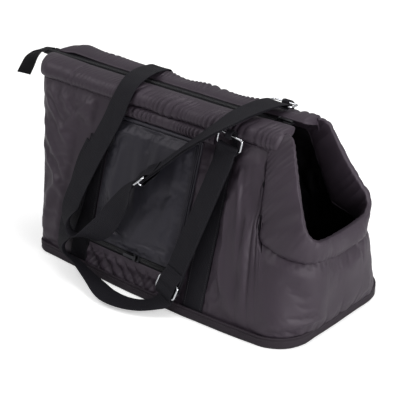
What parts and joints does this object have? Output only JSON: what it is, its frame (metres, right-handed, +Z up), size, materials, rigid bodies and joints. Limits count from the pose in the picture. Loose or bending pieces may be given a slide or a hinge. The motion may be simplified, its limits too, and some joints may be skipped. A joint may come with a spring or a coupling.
{
  "type": "pet carrier bag",
  "caption": "Soft padded holdall for a small pet: open front end with padded collar, zipped top, zipped side pocket and long webbing shoulder handles.",
  "frame": {"origin": "centre of the base, on its underside", "axes": "+X along the length, towards the open front end; +Z up, away from the face it rests on; -Y is the pocket side"},
  "size_m": [0.6784, 0.3381, 0.3179],
  "materials": {
    "charcoal_nylon": "satin woven nylon, padded",
    "pocket_nylon": "smooth woven nylon",
    "webbing": "ribbed woven webbing",
    "lining": "soft black lining",
    "nickel": "bright nickel-plated wire",
    "zip_tape": "woven zip tape with a nylon coil",
    "board": "stiff base insert"
  },
  "bodies": {
    "shell": {"base_binding": "webbing", "base_panel": "charcoal_nylon", "base_board": "board", "base_cushion": "lining", "side_panel_near": "charcoal_nylon", "side_panel_far": "charcoal_nylon", "rear_panel": "charcoal_nylon", "front_panel": "charcoal_nylon", "collar": "charcoal_nylon", "top_roll_near": "charcoal_nylon", "top_roll_far": "charcoal_nylon", "zip_tape_near": "zip_tape", "zip_tape_far": "zip_tape", "zip_tail": "zip_tape", "webbing_near_front": "webbing", "webbing_near_rear": "webbing", "webbing_far_front": "webbing", "webbing_far_rear": "webbing", "pocket_panel": "pocket_nylon", "pocket_foot": "charcoal_nylon", "pocket_welt": "pocket_nylon", "pocket_gusset": "pocket_nylon", "pocket_header": "charcoal_nylon", "pocket_tape_lower": "zip_tape", "pocket_tape_upper": "zip_tape", "ring_tab_near": "webbing", "ring_tab_far": "webbing", "handle_far_end": "webbing"},
    "near_handle": {"handle_near": "webbing", "ring_near": "nickel"},
    "far_handle": {"handle_far": "webbing", "ring_far": "nickel"},
    "near_adjuster": {"adjuster_near": "nickel"},
    "far_adjuster": {"adjuster_far": "nickel"},
    "top_slider": {"zip_slider": "nickel"},
    "top_pull": {"zip_pull": "nickel"},
    "pocket_runner": {"pocket_slider": "nickel"},
    "pocket_tab": {"pocket_pull": "nickel"}
  },
  "joints": [
    {"name": "far_handle_swing", "type": "hinge", "parent": "shell", "child": "far_handle", "pos_m": [0.118, 0.046, 0.309], "axis": [-1, 0, 0], "range_deg": [0, 125]},
    {"name": "near_handle_swing", "type": "hinge", "parent": "shell", "child": "near_handle", "pos_m": [0.101, -0.065, 0.286], "axis": [-0.9614, -0.0288, -0.2737], "range_deg": [0, 134]},
    {"name": "near_adjuster_slide", "type": "slide", "parent": "near_handle", "child": "near_adjuster", "axis": [0.2346, 0.2942, 0.9265], "range_m": [0, 0.13]},
    {"name": "far_adjuster_slide", "type": "slide", "parent": "far_handle", "child": "far_adjuster", "axis": [0.6889, 0.2738, 0.6712], "range_m": [0, 0.045]},
    {"name": "top_zip_slide", "type": "slide", "parent": "shell", "child": "top_slider", "axis": [-1, 0, 0], "range_m": [0, 0.46]},
    {"name": "top_pull_hinge", "type": "hinge", "parent": "top_slider", "child": "top_pull", "pos_m": [0.14, 0, 0.3032], "axis": [0, -1, 0], "range_deg": [0, 100]},
    {"name": "pocket_zip_slide", "type": "slide", "parent": "shell", "child": "pocket_runner", "axis": [0.9994, -0.0344, 0.0007], "range_m": [-0.09, 0.055]},
    {"name": "pocket_pull_hinge", "type": "hinge", "parent": "pocket_runner", "child": "pocket_tab", "pos_m": [-0.03827, -0.12983, 0.05935], "axis": [0.0092, 0.2868, 0.9579], "range_deg": [0, 100]}
  ],
  "couplings": [
    {"joint": "near_handle_swing", "follows": "far_handle_swing", "ratio": 1.07}
  ]
}
